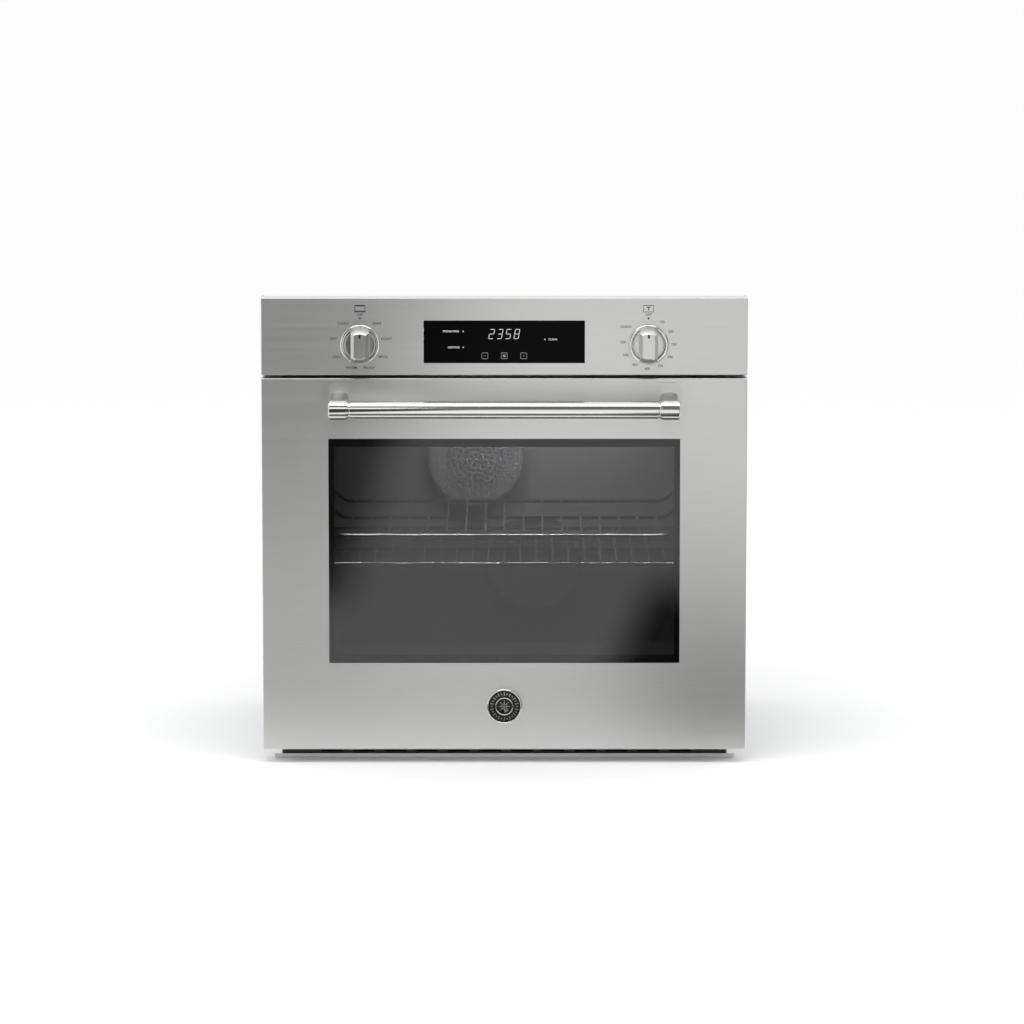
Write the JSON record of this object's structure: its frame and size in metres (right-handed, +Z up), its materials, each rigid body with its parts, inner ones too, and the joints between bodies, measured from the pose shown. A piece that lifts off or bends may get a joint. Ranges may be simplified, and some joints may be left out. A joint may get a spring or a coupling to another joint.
{
  "type": "wall oven",
  "caption": "Built-in wall oven with a drop-down glazed door, bar handle, control panel with display and knobs, wire racks and convection fans.",
  "frame": {"origin": "bottom centre of the whole oven's box, handle included", "axes": "+Z up; +Y from the front to the back, so someone who faces the door looks along +Y; +X to that person's right"},
  "size_m": [0.7588, 0.67, 0.7366],
  "materials": {
    "brushed_steel": "horizontal brush lines, satin",
    "polished_steel": "polished and fine turned",
    "galvanised_sheet": "galvanised, dull spangle",
    "dark_enamel": "speckled vitreous enamel, gloss",
    "chrome_wire": "bright plated wire",
    "tinted_glass": "dark tinted, gloss",
    "clear_glass": "clear",
    "black_plastic": "fine matt",
    "board_cover": "matt",
    "element_sheath": "heat blackened",
    "mineral_wool": "loose fibre",
    "glass_braid": "braided",
    "cast_hinge_steel": "plated, dull"
  },
  "bodies": {
    "root": {"bake_element": "element_sheath", "base_pan": "galvanised_sheet", "bottom_trim": "brushed_steel", "broil_element": "element_sheath", "cable_gland": "black_plastic", "cavity_liner": "dark_enamel", "control_panel": "brushed_steel", "cooling_fan_housing": "galvanised_sheet", "display_board": "board_cover", "display_glass": "tinted_glass", "door_gasket": "glass_braid", "electronics_tray": "galvanised_sheet", "fan_cover_lower": "dark_enamel", "fan_cover_upper": "dark_enamel", "fan_motor_lower": "galvanised_sheet", "fan_motor_upper": "galvanised_sheet", "front_frame": "galvanised_sheet", "hinge_arm_left": "cast_hinge_steel", "hinge_arm_right": "cast_hinge_steel", "hinge_receiver_left": "galvanised_sheet", "hinge_receiver_right": "galvanised_sheet", "insulation_wrap": "mineral_wool", "knob_bezel_left": "polished_steel", "knob_bezel_right": "polished_steel", "oven_lamp": "galvanised_sheet", "rack_guide_left": "chrome_wire", "rack_guide_right": "chrome_wire", "rear_panel": "galvanised_sheet", "ring_element_lower": "element_sheath", "ring_element_upper": "element_sheath", "selector_switch": "board_cover", "side_panel_left": "galvanised_sheet", "side_panel_right": "galvanised_sheet", "side_trim_left": "brushed_steel", "side_trim_right": "brushed_steel", "temperature_probe": "chrome_wire", "terminal_box": "galvanised_sheet", "thermostat": "board_cover", "top_cover": "galvanised_sheet"},
    "door": {"door_skin": "brushed_steel", "door_glass_outer": "tinted_glass", "door_glass_middle": "clear_glass", "door_glass_inner": "clear_glass", "glass_frame": "black_plastic", "door_inner_pan": "dark_enamel", "handle_bar": "polished_steel", "handle_bracket_left": "polished_steel", "handle_bracket_right": "polished_steel", "badge": "polished_steel", "hinge_channel_left": "cast_hinge_steel", "hinge_channel_right": "cast_hinge_steel"},
    "function_knob": {"function_knob": "polished_steel"},
    "temperature_knob": {"temperature_knob": "polished_steel"},
    "rack_upper": {"oven_rack_upper": "chrome_wire"},
    "rack_lower": {"oven_rack_lower": "chrome_wire"},
    "door_switch": {"door_switch_plunger": "black_plastic"},
    "latch": {"door_latch": "cast_hinge_steel"},
    "fan_upper": {"fan_impeller_upper": "cast_hinge_steel"},
    "fan_lower": {"fan_impeller_lower": "cast_hinge_steel"},
    "cooling_wheel": {"cooling_fan_wheel": "black_plastic"}
  },
  "joints": [
    {"name": "door_hinge", "type": "hinge", "parent": "root", "child": "door", "pos_m": [0, -0.2495, 0.0321], "axis": [1, 0, 0], "range_deg": [0, 90]},
    {"name": "function_knob_turn", "type": "hinge", "parent": "root", "child": "function_knob", "pos_m": [-0.2248, -0.2615, 0.6635], "axis": [0, 1, 0], "continuous": true},
    {"name": "temperature_knob_turn", "type": "hinge", "parent": "root", "child": "temperature_knob", "pos_m": [0.2248, -0.2615, 0.6635], "axis": [0, 1, 0], "range_deg": [0, 305]},
    {"name": "rack_upper_slide", "type": "slide", "parent": "root", "child": "rack_upper", "axis": [0, -1, 0], "range_m": [0, 0.295]},
    {"name": "rack_lower_slide", "type": "slide", "parent": "root", "child": "rack_lower", "axis": [0, -1, 0], "range_m": [0, 0.295]},
    {"name": "door_switch_slide", "type": "slide", "parent": "root", "child": "door_switch", "axis": [0, -1, 0], "range_m": [0, 0.004]},
    {"name": "latch_turn", "type": "hinge", "parent": "root", "child": "latch", "pos_m": [0, -0.1815, 0.585], "axis": [0, 0, -1], "range_deg": [0, 88]},
    {"name": "fan_upper_spin", "type": "hinge", "parent": "root", "child": "fan_upper", "pos_m": [-0.0485, 0.2105, 0.418], "axis": [0, 1, 0], "continuous": true},
    {"name": "fan_lower_spin", "type": "hinge", "parent": "root", "child": "fan_lower", "pos_m": [0.0485, 0.2105, 0.245], "axis": [0, 1, 0], "continuous": true},
    {"name": "cooling_fan_spin", "type": "hinge", "parent": "root", "child": "cooling_wheel", "pos_m": [0, 0.0885, 0.627], "axis": [1, 0, 0], "continuous": true}
  ],
  "couplings": [
    {"joint": "rack_upper_slide", "follows": "door_hinge", "m_per_rad": 0.185},
    {"joint": "rack_lower_slide", "follows": "door_hinge", "m_per_rad": 0.185},
    {"joint": "door_switch_slide", "follows": "door_hinge", "m_per_rad": 0.0025}
  ]
}
